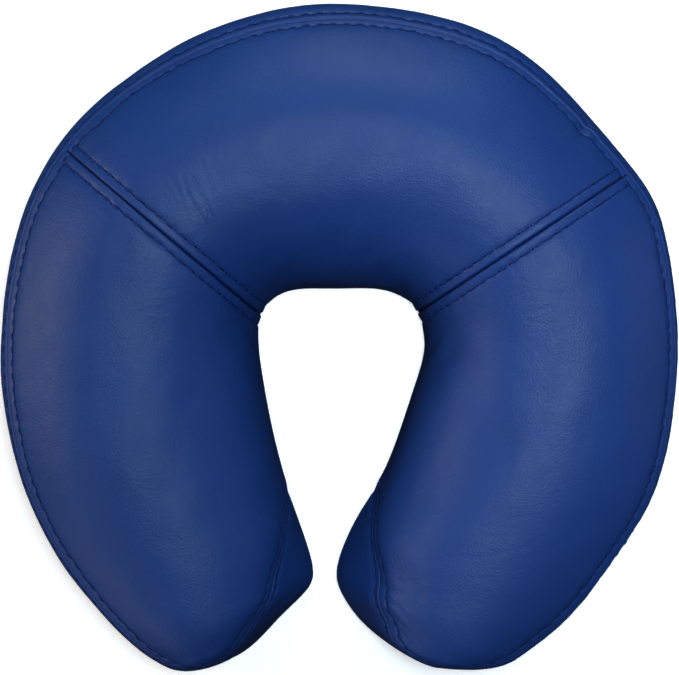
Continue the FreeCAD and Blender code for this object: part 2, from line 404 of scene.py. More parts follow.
def stitch_dips(position):
    """1 where the thread goes into the leather, 0 in the middle of each stitch."""
    return (0.5 + 0.5 * np.cos(2 * math.pi * position / STITCH_PITCH)) ** 2


def beside_seam(distance, row, position, seed):
    """How far the leather is drawn in, at a distance from a seam that has a row of thread beside it."""
    beyond = np.clip(distance - row, 0, None)
    groove = GROOVE * bell(distance, GROOVE_WIDTH)
    track = (TRACK + DIP * stitch_dips(position)) * bell(distance - row, TRACK_WIDTH)
    drawn = DRAWN * bell(distance - row, DRAWN_WIDTH)
    between = np.clip(distance, 0, None) < row
    fading = np.where(between, bell(distance - row, 2.5), np.exp(-beyond / 5.0))
    ripple = RIPPLE * wander(position, RIPPLE_LENGTH, seed) * fading
    return groove + track + drawn + ripple


def kink(position, distance):
    along = position - seam_position(KINK)
    fold = KINK_DEPTH * bell(along - KINK_SLANT * distance, 2.2) * bell(distance - 2.0, 6.0)
    return fold - KINK_RIDGE * bell(along - 5 - KINK_SLANT * distance, 3.5) * bell(distance - 3.0, 6.0)


# Families of fine creases: centre, spread, direction and its spread in degrees, length and its
# spread, depth, how many, and the point they fan out from, or None where they run side by side.
CREASES = [
    ((-62, 58), (11, 17), 115, 9, 17, 7, 0.135, 42, (-47, 24)),
    ((-84, 34), (17, 18), 2, 6, 14, 5, 0.055, 34, None),
    ((-70, 12), (10, 10), 8, 8, 11, 4, 0.055, 14, None),
    ((90, 25), (14, 10), 2, 6, 12, 4, 0.080, 30, None),
    ((66, -94), (26, 10), 6, 8, 14, 5, 0.095, 34, None),
    ((30, -112), (8, 7), -8, 12, 11, 4, 0.30, 20, (10, -106)),
    ((-42, -80), (9, 14), 4, 8, 10, 4, 0.05, 14, None),
    ((70, 62), (12, 10), 60, 12, 12, 4, 0.045, 16, (45, 18)),
]


def creases(x, y):
    """Depth of the fine creases at plan positions, with a low shoulder beside each of them."""
    rng = np.random.default_rng(11)
    depth = np.zeros_like(x)
    for centre, spread, direction, turn, length, length_spread, deep, count, origin in CREASES:
        for _ in range(count):
            cx = centre[0] + spread[0] * rng.normal()
            cy = centre[1] + spread[1] * rng.normal()
            angle = math.radians(direction + turn * rng.normal())
            if origin:
                angle = math.atan2(cy - origin[1], cx - origin[0]) + math.radians(turn * 0.4 * rng.normal())
            half = max(4.0, length + length_spread * rng.normal()) / 2
            bend = rng.normal() * 0.2 / half
            width = rng.uniform(0.6, 1.0)
            dig = deep * rng.uniform(0.5, 1.4)
            near = (np.abs(x - cx) < half + 4) & (np.abs(y - cy) < half + 4)
            along = (x[near] - cx) * math.cos(angle) + (y[near] - cy) * math.sin(angle)
            across = (y[near] - cy) * math.cos(angle) - (x[near] - cx) * math.sin(angle)
            across = across - bend * along**2 - 0.25 * np.sin(along / half * 3 + cx)
            window = np.clip(1 - (along / half) ** 2, 0, None)
            section = bell(across, width) - 0.45 * bell(np.abs(across) - 2.1 * width, width)
            depth[near] += dig * window * section
    return depth


def seam_line(side):
    """A cheek seam seen from above: its outer end, and its normal towards the crown."""
    k = side * CHEEK_SEAM
    start, end = silhouette(k), silhouette(inner_number(k))
    along = unit(end - start)
    return start, np.array([along[1], -along[0]]) * side


def seam_row(distance, side):
    """Distance of a cheek seam's rows of thread from the seam."""
    return ROW_OFFSET + 0.15 * wander(distance, 17.0, 5 + side)


def lumps(grid):
    """Slight unevenness of the stuffing."""
    flat = grid.reshape(-1, 3)
    broad = np.array([noise.noise(Vector(p) / 38.0) for p in flat])
    fine = np.array([noise.noise(Vector(p) / 13.0 + Vector((7, 3, 1))) for p in flat])
    return (0.6 * broad + 0.18 * fine).reshape(grid.shape[:2])


def top_depth(k, grid, distance, length):
    """How far each point of the top panels lies below the smooth cover."""
    ks = np.broadcast_to(k[:, None], distance.shape)
    outer_position = seam_position(ks)
    depth = beside_seam(distance, upper_row(outer_position), outer_position, 21)
    depth = depth + kink(outer_position, distance)
    far = length - distance
    inner_position = seam_position(inner_number(ks))
    sewn = ramp(np.abs(ks), TAPER + 0.1, TAPER + 0.8)
    depth = depth + sewn * beside_seam(far, upper_row(inner_position), inner_position, 22)
    clear = ramp(distance, 0.6 * UPPER_ROW, 1.2 * UPPER_ROW)
    for side in (1, -1):
        start, normal = seam_line(side)
        across = (grid[..., :2] - start) @ normal
        here = clear * ramp(3.5 - np.abs(ks - side * CHEEK_SEAM), 0.0, 1.0)
        depth = depth + here * beside_seam(np.abs(across), seam_row(distance, side), distance, 30 + side)
    edge = ramp(distance, 2.0, 14.0) * ramp(far, 1.0, 12.0)
    return depth + edge * (creases(grid[..., 0], grid[..., 1]) - lumps(grid))


# ---- meshes ----


def mesh_object(name, points, faces, material, slot_name, replaced):
    mesh = bpy.data.meshes.new(name)
    mesh.from_pydata((np.asarray(points) * MM).tolist(), [], faces)
    mesh.polygons.foreach_set("use_smooth", [True] * len(mesh.polygons))
    mesh.materials.append(material)
    mesh.update()
    piece = bpy.data.objects.new(name, mesh)
    bpy.context.scene.collection.objects.link(piece)
    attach(piece, "root")
    if replaced:
        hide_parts(*replaced)
    return piece


def grid_faces(rows, columns):
    index = np.arange(rows * columns).reshape(rows, columns)
    quads = np.stack([index[:-1, :-1], index[1:, :-1], index[1:, 1:], index[:-1, 1:]], -1)
    return quads.reshape(-1, 4)


def without_slivers(points, faces):
    """Joins points that coincide, and drops faces that this leaves without area."""
    _, first, owner = np.unique(np.round(points, 5), axis=0, return_index=True, return_inverse=True)
    owner = owner.reshape(-1)
    kept = []
    for face in owner[faces]:
        corners = [int(c) for i, c in enumerate(face) if c != face[i - 1]]
        if len(corners) > 2:
            kept.append(corners)
    return points[first], kept


def grid_object(name, grid, *facts):
    points, faces = without_slivers(grid.reshape(-1, 3), grid_faces(*grid.shape[:2]))
    return mesh_object(name, points, faces, *facts)


def thicken(piece):
    """Gives a sheet of leather its thickness, inwards."""
    solid = piece.modifiers.new("thickness", "SOLIDIFY")
    solid.thickness = LEATHER * MM
    solid.offset = -1


def cap_ends(piece):
    """Closes the open ends of a tube-like mesh, and turns all its faces outwards."""
    form = bmesh.new()
    form.from_mesh(piece.data)
    bmesh.ops.holes_fill(form, edges=[e for e in form.edges if e.is_boundary], sides=0)
    bmesh.ops.recalc_face_normals(form, faces=form.faces)
    form.to_mesh(piece.data)
    form.free()


made = {}


def once(build):
    """Builds each thing the first time that it is asked for."""

    def get():
        if build.__name__ not in made:
            made[build.__name__] = build()
        return made[build.__name__]

    return get


# ---- the stuffing, by cloth simulation ----

CLOTH_STEP = 5.5  # spacing of the simulated sheet's columns, along the silhouette
CLOTH_ROWS = 33
CLOTH_FRAMES = 20
CLOTH_PRESSURE = 4.0
CLOTH_SLACK = 0.0015  # the leather is cut this much too large, as a share
SWELL_CAP = 3.5  # the furthest that a point may move


def sewn_sheet():
    """A coarse sheet for the top panels: its columns' numbers, its points, and which are sewn down.

    It stops short of the tips, where its columns would shrink to a point.
    """
    parts = []
    end = TIP - 1
    for k0, k1 in ((-end, -CHEEK_SEAM), (-CHEEK_SEAM, CHEEK_SEAM), (CHEEK_SEAM, end)):
        s0, s1 = np.interp([k0, k1], *SILHOUETTE_ARC)
        positions = np.linspace(s0, s1, int((s1 - s0) / CLOTH_STEP))
        parts.append(np.interp(positions, SILHOUETTE_ARC[1], SILHOUETTE_ARC[0]))
    k = np.concatenate([parts[0], parts[1][1:], parts[2][1:]])
    points, _, _ = even_rows(top_sections(k), np.linspace(0, 1, CLOTH_ROWS))
    sewn = np.zeros(points.shape[:2], bool)
    sewn[:, [0, -1]] = True
    sewn[[0, -1]] = True
    for side in (-1, 1):
        sewn[np.argmin(np.abs(k - side * CHEEK_SEAM))] = True
    return k, points, sewn


@once
def stuffing():
    """How the stuffing moves the sheet: its columns' numbers, and the move of each of its points."""
    k, points, sewn = sewn_sheet()
    mesh = bpy.data.meshes.new("sheet")
    faces = grid_faces(*points.shape[:2])[:, ::-1]
    mesh.from_pydata((points.reshape(-1, 3) * MM).tolist(), [], faces.tolist())
    sheet = bpy.data.objects.new("sheet", mesh)
    scene = bpy.context.scene
    scene.collection.objects.link(sheet)
    held = sheet.vertex_groups.new(name="sewn")
    held.add([int(i) for i in np.nonzero(sewn.reshape(-1))[0]], 1.0, "REPLACE")
    cloth = sheet.modifiers.new("cloth", "CLOTH")
    settings = cloth.settings
    settings.quality = 8
    settings.vertex_group_mass = "sewn"
    settings.tension_stiffness = settings.compression_stiffness = 60
    settings.shear_stiffness = 20
    settings.bending_stiffness = 2.0
    settings.shrink_min = -CLOTH_SLACK
    settings.use_pressure = True
    settings.uniform_pressure_force = CLOTH_PRESSURE
    settings.effector_weights.gravity = 0
    cloth.collision_settings.use_collision = False
    cloth.point_cache.frame_start, cloth.point_cache.frame_end = 1, CLOTH_FRAMES
    for number in range(1, CLOTH_FRAMES + 1):
        scene.frame_set(number)
    shaped = sheet.evaluated_get(bpy.context.evaluated_depsgraph_get()).data
    moved = np.empty(len(shaped.vertices) * 3)
    shaped.vertices.foreach_get("co", moved)
    move = moved.reshape(points.shape) / MM - points
    scene.frame_set(1)
    bpy.data.objects.remove(sheet)
    bpy.data.meshes.remove(mesh)
    for axis in (0, 1):
        move = (np.roll(move, 1, axis) + 2 * move + np.roll(move, -1, axis)) / 4
    move[sewn] = 0
    far = np.linalg.norm(move, axis=2, keepdims=True)
    return k, move * SWELL_CAP * np.tanh(far / SWELL_CAP) / np.maximum(far, 1e-6)


def cubic_weights(places, count):
    """Weights that draw a smooth curve through evenly numbered values, one row for each place."""
    i = np.clip(np.floor(places).astype(int), 0, count - 2)
    t = places - i
    shares = (
        -0.5 * t + t**2 - 0.5 * t**3,
        1 - 2.5 * t**2 + 1.5 * t**3,
        0.5 * t + 2 * t**2 - 1.5 * t**3,
        -0.5 * t**2 + 0.5 * t**3,
    )
    weights = np.zeros((len(places), count))
    for offset, share in zip((-1, 0, 1, 2), shares):
        np.add.at(weights, (np.arange(len(places)), np.clip(i + offset, 0, count - 1)), share)
    return weights


def top_smooth(k):
    """Smooth points and normals of the top panels at sections k, with distances from the outer seam."""
    smooth, distance, length = even_rows(top_sections(k), TOP_ROWS)
    columns, move = stuffing()
    across = cubic_weights(np.interp(k, columns, np.arange(len(columns))), len(columns))
    down = cubic_weights(TOP_ROWS * (CLOTH_ROWS - 1), CLOTH_ROWS)
    smooth = smooth + np.einsum("ka,abi,jb->kji", across, move, down, optimize=True)
    return smooth, normals_of(smooth[:, ::-1])[:, ::-1], distance, length


def top_panel(k):
    """The leather of the top panels at sections k."""
    smooth, out, distance, length = top_smooth(k)
    return smooth - out * top_depth(k, smooth, distance, length)[..., None], out, distance, length


BAND_START = -(INNER - TAPER)  # the band runs from here round the left tip, the crown and the right tip
WAIST = 0.53  # share of the band's height at which the outer wall is widest
BASE_TUCK = 3.0  # the silhouette overhangs the underside by this much
INNER_TUCK = 0.9  # and by this much round the face opening


def inner_share(number):
    """0 on the outer wall, 1 on the inner wall, and between them round the tips."""
    return ramp(np.abs(number), TIP - 3, TIP + 2)


def band_profile(number, v):
    """Points of the side band: v runs from the band seam, 0, down to the underside, 1."""
    seam, rim = seam_outline(number), silhouette(number)
    top = lip_height(number)
    inside = inner_share(number)
    z = top + (BASE_Z - top) * v
    waist = BASE_Z + (SEAM_Z - BASE_Z) * WAIST * (1 - inside)
    above = np.clip((z - waist) / np.maximum(top - waist, 0.5), 0, 1)
    below = np.clip((waist - z) / np.maximum(waist - BASE_Z, 0.5), 0, 1)
    lean = above ** (2.4 - 1.2 * inside)
    tuck = BASE_TUCK * (1 - inside) * below**2
    xy = rim + (seam - rim) * lean[..., None] + inward(number) * tuck[..., None]
    return np.concatenate([xy, z[..., None]], -1)


def band_numbers(step):
    start, end = np.interp([BAND_START, -BAND_START], *SEAM_ARC)
    positions = np.linspace(start, end, int((end - start) / step))
    return np.interp(positions, SEAM_ARC[1], SEAM_ARC[0])


def band_smooth(number):
    dense = band_profile(number[:, None], np.linspace(0, 1, 200)[None, :] + 0 * number[:, None])
    return even_rows(dense, BAND_ROWS)


def side_band(number):
    smooth, distance, length = band_smooth(number)
    out = normals_of(smooth)
    position = seam_position(number)[:, None] + 0 * distance
    depth = beside_seam(distance, lower_row(position), position, 23)
    depth = depth + 0.6 * kink(position, distance) + 0.9 * bell(length - distance, 1.2)
    depth = depth - ramp(distance, 2.0, 12.0) * ramp(length - distance, 2.0, 10.0) * lumps(smooth)
    ends = ramp(length, 0.5, 12.0)
    return smooth - out * (ends * depth)[..., None], out


def base_outline(number):
    tuck = BASE_TUCK + (INNER_TUCK - BASE_TUCK) * inner_share(number)
    return silhouette(number) + inward(number) * tuck[..., None]


def underside(k):
    """The flat lower panel. Its points run from the outer edge to the inner, so that it faces down."""
    a, b = base_outline(k), base_outline(inner_number(k))
    width = np.linalg.norm(b - a, axis=1)
    xy = a[:, None] + (b - a)[:, None] * BASE_ROWS[None, :, None]
    edge = np.minimum(BASE_ROWS, 1 - BASE_ROWS)[None, :] * width[:, None]
    position = seam_position(k)[:, None] + 0 * edge
    lift = 0.9 * bell(edge, 1.3) + 0.25 * (1 + wander(position, 9.0, 8)) * np.exp(-edge / 5.0)
    return np.concatenate([xy, (BASE_Z + lift)[..., None]], -1)


# ---- stitches ----

THREAD = 0.42  # radius of the thread
THREAD_WIDENING = 1.1  # the thread is pressed this much wider than it is thick
STITCH_SHARE = 0.70  # the length of a stitch that shows, as a share of the pitch
STITCH_RISE, STITCH_SINK = 0.34, 0.75  # how high its middle lies, and how far its ends go down
STITCH_THINNING, STITCH_SLANT = 0.45, 0.12  # how much its ends narrow, and how far it leans
STITCH_SIDES = 8
STITCH_STEPS = 7
HOLE_LENGTH, HOLE_WIDTH, HOLE_SIDES = 2.5, 0.95, 10
HOLE_MIDDLE, HOLE_RIM = 0.26, 0.12  # heights above the leather
PATH_GAP = 1.0  # a stitch further than this from its path's points would bridge a gap


def stitch(path, out):
    """One stitch as a rounded, slightly arched length of thread along a short path."""
    middle, ahead = path[1], unit(path[2] - path[0])
    length = np.linalg.norm(path[2] - path[0]) * STITCH_SHARE
    side = unit(np.cross(out, ahead))
    points = []
    for i in range(STITCH_STEPS):
        s = 2 * i / (STITCH_STEPS - 1) - 1
        height = STITCH_RISE - STITCH_SINK * abs(s) ** 2.6
        radius = THREAD * (1 - STITCH_THINNING * abs(s) ** 3)
        centre = middle + ahead * (s * length / 2) + side * (STITCH_SLANT * s) + out * height
        for j in range(STITCH_SIDES):
            turn = 2 * math.pi * j / STITCH_SIDES
            reach = side * math.cos(turn) * THREAD_WIDENING + out * math.sin(turn)
            points.append(centre + radius * reach)
    return points


def stitch_faces(start):
    rings, n = STITCH_STEPS, STITCH_SIDES
    last = start + (rings - 1) * n
    faces = [list(range(start + n - 1, start - 1, -1)), list(range(last, last + n))]
    for i in range(rings - 1):
        for j in range(n):
            a, b = start + i * n + j, start + i * n + (j + 1) % n
            faces.append([a, b, b + n, a + n])
    return faces


def painted_hole_shade(middle, ahead, out):
    """Painted shade where the thread goes down between two stitches: a small dark closed lens laid just
    above the leather.
    """
    side = unit(np.cross(out, ahead))
    points = [middle + out * HOLE_MIDDLE, middle - out * HOLE_MIDDLE]
    for turn in np.linspace(0, 2 * math.pi, HOLE_SIDES, endpoint=False):
        reach = ahead * (math.cos(turn) * HOLE_LENGTH / 2) + side * (math.sin(turn) * HOLE_WIDTH / 2)
        points.append(middle + reach + out * HOLE_RIM)
    return points


def hole_faces(start):
    faces = []
    for i in range(HOLE_SIDES):
        corner, following = start + 2 + i, start + 2 + (i + 1) % HOLE_SIDES
        faces += [[start, corner, following], [start + 1, following, corner]]
    return faces


def stitch_row(name, path, outs, positions, replaced):
    """A row of separate stitches along a path, given the normals and the distances along it."""
    points, faces = [], []
    holes, hole_sides = [], []
    first = math.ceil(positions[0] / STITCH_PITCH)
    last = math.floor(positions[-1] / STITCH_PITCH)

    def at(values, position):
        return np.array([np.interp(position, positions, values[:, i]) for i in range(3)])

    for n in range(first, last):
        places = [(n + share) * STITCH_PITCH for share in (0, 0.5, 1)]
        if max(np.abs(positions - place).min() for place in places) > PATH_GAP:
            continue
        faces += stitch_faces(len(points))
        points += stitch([at(path, p) for p in places], unit(at(outs, places[1])))
        ahead = unit(at(path, places[0] + 0.4) - at(path, places[0] - 0.4))
        hole_sides += hole_faces(len(holes))
        holes += painted_hole_shade(at(path, places[0]), ahead, unit(at(outs, places[0])))
    mesh_object(name, points, faces, thread_material(), "thread", replaced)
    # Painted shade: a dark lens at each needle hole between the stitches.
    hole_name = name.replace("stitches", "painted_hole_shades")
    mesh_object(hole_name, holes, hole_sides, painted_shade_material(), "thread", [])


def seam_fold(name, path, outs, radius, rise):
    """Painted shade at the bottom of a seam: a thin dark cord that lies above the bottom of its groove."""
    ahead = unit(np.gradient(path, axis=0))
    side = unit(np.cross(outs, ahead))
    middle = path + outs * rise
    turns = np.linspace(0, 2 * math.pi, 9)[None, :, None]
    grid = middle[:, None] + radius * (side[:, None] * np.cos(turns) + outs[:, None] * np.sin(turns))
    cap_ends(grid_object(name, grid, painted_shade_material(), "cover", []))


def along_columns(grid, out, distance, wanted):
    """Points of a grid at a wanted distance down each of its columns, with their normals."""
    points, outs = [], []
    for column, normal, length, target in zip(grid, out, distance, wanted):
        points.append([np.interp(target, length, column[:, i]) for i in range(3)])
        outs.append([np.interp(target, length, normal[:, i]) for i in range(3)])
    return np.array(points), np.array(outs)


# ---- materials ----


class Nodes:
    """A short way to write a material's nodes."""

    def __init__(self, name):
        self.material = bpy.data.materials.new(name)
        self.material.use_nodes = True
        self.tree = self.material.node_tree
        self.shader = self.tree.nodes["Principled BSDF"]
        self.place = self.add("ShaderNodeTexCoord").outputs["Object"]

    def feed(self, socket, value):
        """Links another socket to this one, or sets this one's own value."""
        if isinstance(value, bpy.types.NodeSocket):
            self.tree.links.new(value, socket)
        else:
            socket.default_value = value

    def add(self, kind, inputs=None, **settings):
        node = self.tree.nodes.new(kind)
        for name, value in settings.items():
            setattr(node, name, value)
        for name, value in (inputs or {}).items():
            self.feed(node.inputs[name], value)
        return node

    def noise(self, scale, detail=4.0, roughness=0.55):
        inputs = {"Vector": self.place, "Scale": scale, "Detail": detail, "Roughness": roughness}
        return self.add("ShaderNodeTexNoise", inputs).outputs["Fac"]

    def cells(self, scale):
        inputs = {"Vector": self.place, "Scale": scale}
        return self.add("ShaderNodeTexVoronoi", inputs, feature="F1").outputs["Distance"]

    def spread(self, value, low, high, new_low=0.0, new_high=1.0):
        inputs = {"Value": value, "From Min": low, "From Max": high, "To Min": new_low, "To Max": new_high}
        return self.add("ShaderNodeMapRange", inputs).outputs["Result"]

    def mix(self, share, a, b):
        node = self.add("ShaderNodeMix", data_type="RGBA")
        for socket, value in zip((node.inputs[0], node.inputs[6], node.inputs[7]), (share, a, b)):
            self.feed(socket, value)
        return node.outputs[2]

    def sums(self, a, b, operation="ADD"):
        node = self.add("ShaderNodeMath", operation=operation)
        for socket, value in zip(node.inputs, (a, b)):
            self.feed(socket, value)
        return node.outputs[0]

    def bump(self, height, depth, under=None):
        inputs = {"Height": height, "Distance": depth, "Strength": 1.0}
        if under is not None:
            inputs["Normal"] = under
        return self.add("ShaderNodeBump", inputs).outputs["Normal"]

    def set(self, **values):
        for name, value in values.items():
            self.feed(self.shader.inputs[name.replace("_", " ")], value)
        return self.material


@once
def leather_material():
    """Blue semi-matt faux leather: pebble grain, faint drape lines, and slightly uneven colour."""
    n = Nodes("blue_faux_leather")
    pebbles = n.cells(1150.0)
    pores = n.noise(2600.0, 3.0)
    drape = n.noise(95.0, 5.0, 0.6)
    broad = n.noise(14.0, 3.0)
    colour = n.mix(n.spread(broad, 0.35, 0.65), (0.0042, 0.0245, 0.125, 1), (0.0062, 0.0300, 0.148, 1))
    colour = n.mix(n.spread(pebbles, 0.0, 0.9, 0.0, 0.35), colour, (0.012, 0.045, 0.19, 1))
    polish = n.sums(n.noise(60.0, 4.0), n.sums(pores, 0.25, "MULTIPLY"))
    roughness = n.spread(polish, 0.35, 0.95, 0.43, 0.56)
    grain = n.sums(n.spread(pebbles, 0.0, 0.8), n.sums(pores, 0.5, "MULTIPLY"))
    bump = n.bump(grain, 0.00009)
    bump = n.bump(drape, 0.00035, bump)
    return n.set(Base_Color=colour, Roughness=roughness, Normal=bump, Specular_IOR_Level=0.22)


@once
def thread_material():
    """Twisted polyester thread, a little deeper in colour than the leather."""
    n = Nodes("blue_thread")
    inputs = {"Vector": n.place, "Scale": 900.0, "Distortion": 2.0}
    twist = n.add("ShaderNodeTexWave", inputs, bands_direction="DIAGONAL").outputs["Fac"]
    fibres = n.noise(5200.0, 2.0)
    colour = n.mix(twist, (0.0020, 0.012, 0.080, 1), (0.0045, 0.024, 0.135, 1))
    roughness = n.spread(fibres, 0.3, 0.7, 0.5, 0.65)
    bump = n.bump(n.sums(twist, fibres), 0.00012)
    return n.set(Base_Color=colour, Roughness=roughness, Normal=bump, Specular_IOR_Level=0.15)


@once
def painted_shade_material():
    """Painted shade: a deep navy colour that stands in for the shadow inside seams and needle holes."""
    n = Nodes("navy_seam_shade")
    fibres = n.noise(3000.0, 2.0)
    colour = n.mix(fibres, (0.0008, 0.0022, 0.022, 1), (0.0016, 0.0045, 0.040, 1))
    roughness = n.spread(fibres, 0.3, 0.7, 0.7, 0.85)
    bump = n.bump(fibres, 0.00005)
    return n.set(Base_Color=colour, Roughness=roughness, Normal=bump, Specular_IOR_Level=0.08)


def foam_material(name, dark, light, cell):
    """Open-cell foam, its pores at the scale given."""
    n = Nodes(name)
    pores = n.cells(cell)
    colour = n.mix(n.spread(pores, 0.1, 0.7), dark, light)
    bump = n.bump(pores, 0.0004)
    return n.set(Base_Color=colour, Roughness=n.spread(pores, 0.0, 1.0, 0.85, 0.95), Normal=bump)


@once
def comfort_foam_material():
    return foam_material("cream_memory_foam", (0.62, 0.54, 0.34, 1), (0.80, 0.74, 0.55, 1), 900.0)


@once
def support_foam_material():
    return foam_material("grey_support_foam", (0.22, 0.23, 0.25, 1), (0.38, 0.40, 0.42, 1), 650.0)


@once
def strip_material():
    """Black loop pile of the fastening strips."""
    n = Nodes("black_loop_pile")
    loops = n.noise(3200.0, 5.0, 0.7)
    weave = n.cells(1500.0)
    colour = n.mix(n.spread(loops, 0.35, 0.7), (0.004, 0.004, 0.005, 1), (0.030, 0.030, 0.034, 1))
    bump = n.bump(n.sums(loops, weave), 0.0005)
    return n.set(
        Base_Color=colour, Roughness=n.spread(loops, 0.0, 1.0, 0.8, 0.95), Normal=bump,
        Sheen_Weight=0.4, Sheen_Roughness=0.6,
    )


@once
def floor_material():
    n = Nodes("pale_studio_floor")
    grain = n.noise(40.0, 3.0)
    return n.set(
        Base_Color=n.mix(grain, (0.86, 0.86, 0.86, 1), (0.90, 0.90, 0.90, 1)),
        Roughness=n.spread(grain, 0.0, 1.0, 0.75, 0.9),
        Emission_Color=(1, 1, 1, 1), Emission_Strength=0.45,
    )


# ---- the pieces ----

COLUMN_STEP = 1.35  # spacing of the leather's columns
PATH_STEP = 1.0  # spacing of the points that the band's thread follows
BASE_COLUMNS = 321
# Each top panel: its name, the node it stands for, its first and last stations, and whether both of
# its ends are cheek seams.
PANELS = [
    ("leather_crown_panel", "crown_top_panel", -CHEEK_SEAM, CHEEK_SEAM, True),
    ("leather_right_cheek", "right_cheek_panel", CHEEK_SEAM, TIP, False),
    ("leather_left_cheek", "left_cheek_panel", -CHEEK_SEAM, -TIP, False),
]


def leather_piece(name, grid, node):
    piece = grid_object(name, grid, leather_material(), "cover", [node])
    thicken(piece)
    return piece


def make_cover():
    """The five pieces of leather."""
    for name, node, k0, k1, both in PANELS:
        k = np.sort(columns_between(k0, k1, COLUMN_STEP, both))
        points, _, _, _ = top_panel(k)
        piece = leather_piece(name, points[:, ::-1], node)
    points, _ = side_band(band_numbers(COLUMN_STEP))
    leather_piece("leather_side_band", points, "side_band")
    leather_piece("leather_underside", underside(np.linspace(-TIP, TIP, BASE_COLUMNS)), "underside_panel")


def make_band_stitches():
    """The rows above and below the band seam."""
    numbers = band_numbers(PATH_STEP)
    positions = seam_position(numbers)
    inner = np.abs(numbers) > TIP
    k = np.where(inner, inner_number(numbers), numbers)
    order = np.argsort(k)  # the normals face outwards only where the sections run one way
    back = np.argsort(order)
    surface, out, distance, length = (part[back] for part in top_panel(k[order]))
    wanted = upper_row(positions)
    room = length[:, 0] > 2 * wanted
    wanted = np.where(inner, length[:, 0] - wanted, wanted)
    path, outs = along_columns(surface, out, distance, wanted)
    stitch_row("stitches_band_upper", path[room], outs[room], positions[room], ["band_stitching_upper"])
    _, distance, length = band_smooth(numbers)
    surface, out = side_band(numbers)
    room = length[:, 0] > lower_row(positions) + 2.0
    path, outs = along_columns(surface, out, distance, lower_row(positions))
    stitch_row("stitches_band_lower", path[room], outs[room], positions[room], ["band_stitching_lower"])


def make_seam_stitches():
    """The rows on each side of the two cheek seams, from the band's upper row to the face opening."""
    for side, leg in ((1, "right"), (-1, "left")):
        start, normal = seam_line(side)
        for sign, which in ((1, "crown"), (-1, "cheek")):
            k = np.sort(side * (CHEEK_SEAM - sign * np.linspace(0.0, 1.0, 90)))
            surface, out, distance, _ = top_panel(k)
            across = (surface[..., :2] - start) @ normal * sign
            path, outs, lengths = [], [], []
            for row in range(surface.shape[1]):
                offset = seam_row(distance[:, row].mean(keepdims=True), side)[0]
                order = np.argsort(across[:, row])
                values = across[order, row]
                if values[-1] < offset:
                    continue
                path.append([np.interp(offset, values, surface[order, row, i]) for i in range(3)])
                outs.append([np.interp(offset, values, out[order, row, i]) for i in range(3)])
                lengths.append(np.interp(offset, values, distance[order, row]))
            path, outs, lengths = np.array(path), np.array(outs), np.array(lengths)
            keep = (lengths > UPPER_ROW + 0.5) & (lengths < lengths[-1] - 3.0)
            node = f"{leg}_seam_stitching_{which}_side"
            stitch_row(f"stitches_{leg}_seam_{which}_side", path[keep], outs[keep], lengths[keep], [node])


FOAM_END = TIP - 3.0  # the foam stops at this station, inside the tips of the cover
FOAM_INSET = 5.4  # from the smooth cover to the foam
FOAM_COLUMNS = 137
FOAM_GAP = 0.2  # between the two layers


def foam_sections(k, inset):
    """Cross-sections of the cushion, from the outer edge of the base over the top to the inner one."""
    v = np.linspace(0, 1, 60)[None, :] + 0 * k[:, None]
    outer = band_profile(k[:, None], v)[:, ::-1]
    inner = band_profile(inner_number(k)[:, None], v)
    whole = np.concatenate([outer, top_sections(k)[:, 1:], inner[:, 1:]], 1)
    rows, _, _ = even_rows(whole, np.linspace(0, 1, 161))
    chord = unit(rows[:, -1] - rows[:, 0])[:, None]
    u, z = np.sum(rows * chord, 2), rows[..., 2]
    along = unit(np.stack([np.gradient(u, axis=1), np.gradient(z, axis=1)], -1))
    moved = rows + chord * (along[..., 1:] * inset)
    moved[..., 2] = np.maximum(z - along[..., 0] * inset, BASE_Z + 0.5 * inset)
    return moved


def cut_section(column, level, above):
    """The part of one section above or below a level, evenly spaced along it."""
    high = np.nonzero(column[:, 2] >= level)[0]
    first, last = high[0], high[-1]

    def resampled(part, count):
        steps = np.linalg.norm(np.diff(part, axis=0), axis=1)
        lengths = np.concatenate([[0], np.cumsum(steps)])
        wanted = np.linspace(0, lengths[-1], count)
        return np.stack([np.interp(wanted, lengths, part[:, i]) for i in range(3)], -1)

    if above:
        part = resampled(column[first : last + 1], 61)
        part[[0, -1], 2] = level
        return part
    outer, inner = resampled(column[: first + 1], 21), resampled(column[last:], 21)
    outer[-1, 2] = inner[0, 2] = level
    return np.concatenate([outer, inner])


def make_seam_folds():
    """Painted shade along the two cheek seams and the band seam: dark cords in their grooves."""
    for side, leg in ((1, "right"), (-1, "left")):
        k = np.array([side * CHEEK_SEAM - 0.01, side * CHEEK_SEAM, side * CHEEK_SEAM + 0.01])
        points, out, distance, length = top_panel(k)
        inside = (distance[1] > 2.5) & (distance[1] < length[1, 0] - 1.5)
        seam_fold(f"seam_fold_{leg}", points[1][inside], out[1][inside], 0.36, 0.35)
    numbers = band_numbers(COLUMN_STEP)
    _, _, length = band_smooth(numbers)
    points, out = side_band(numbers)
    sewn = length[:, 0] > 6.0
    seam_fold("seam_fold_band", points[sewn, 0], out[sewn, 0], 0.34, 0.15)


def make_foam():
    """The two foam layers that fill the cover, a little inside the leather."""
    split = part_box("support_foam")[1].z / MM
    sections = foam_sections(np.linspace(-FOAM_END, FOAM_END, FOAM_COLUMNS), FOAM_INSET)
    for name, node, material, level, above in (
        ("foam_comfort_layer", "comfort_foam", comfort_foam_material(), split + FOAM_GAP / 2, True),
        ("foam_support_layer", "support_foam", support_foam_material(), split - FOAM_GAP / 2, False),
    ):
        rings = np.array([cut_section(column, level, above) for column in sections])
        shell = np.concatenate([rings, rings[:, :1]], 1)
        piece = grid_object(name, shell, material, node, [node])
        cap_ends(piece)


def finish_strips():
    """The fastening strips keep their own shape, and so does their thread."""
    for name in ("crown_strip", "left_leg_strip", "right_leg_strip"):
        for node, material in ((name, strip_material()), (name + "_stitching", thread_material())):
            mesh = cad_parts[node].data
            mesh.materials.clear()
            mesh.materials.append(material)


# ---- studio ----

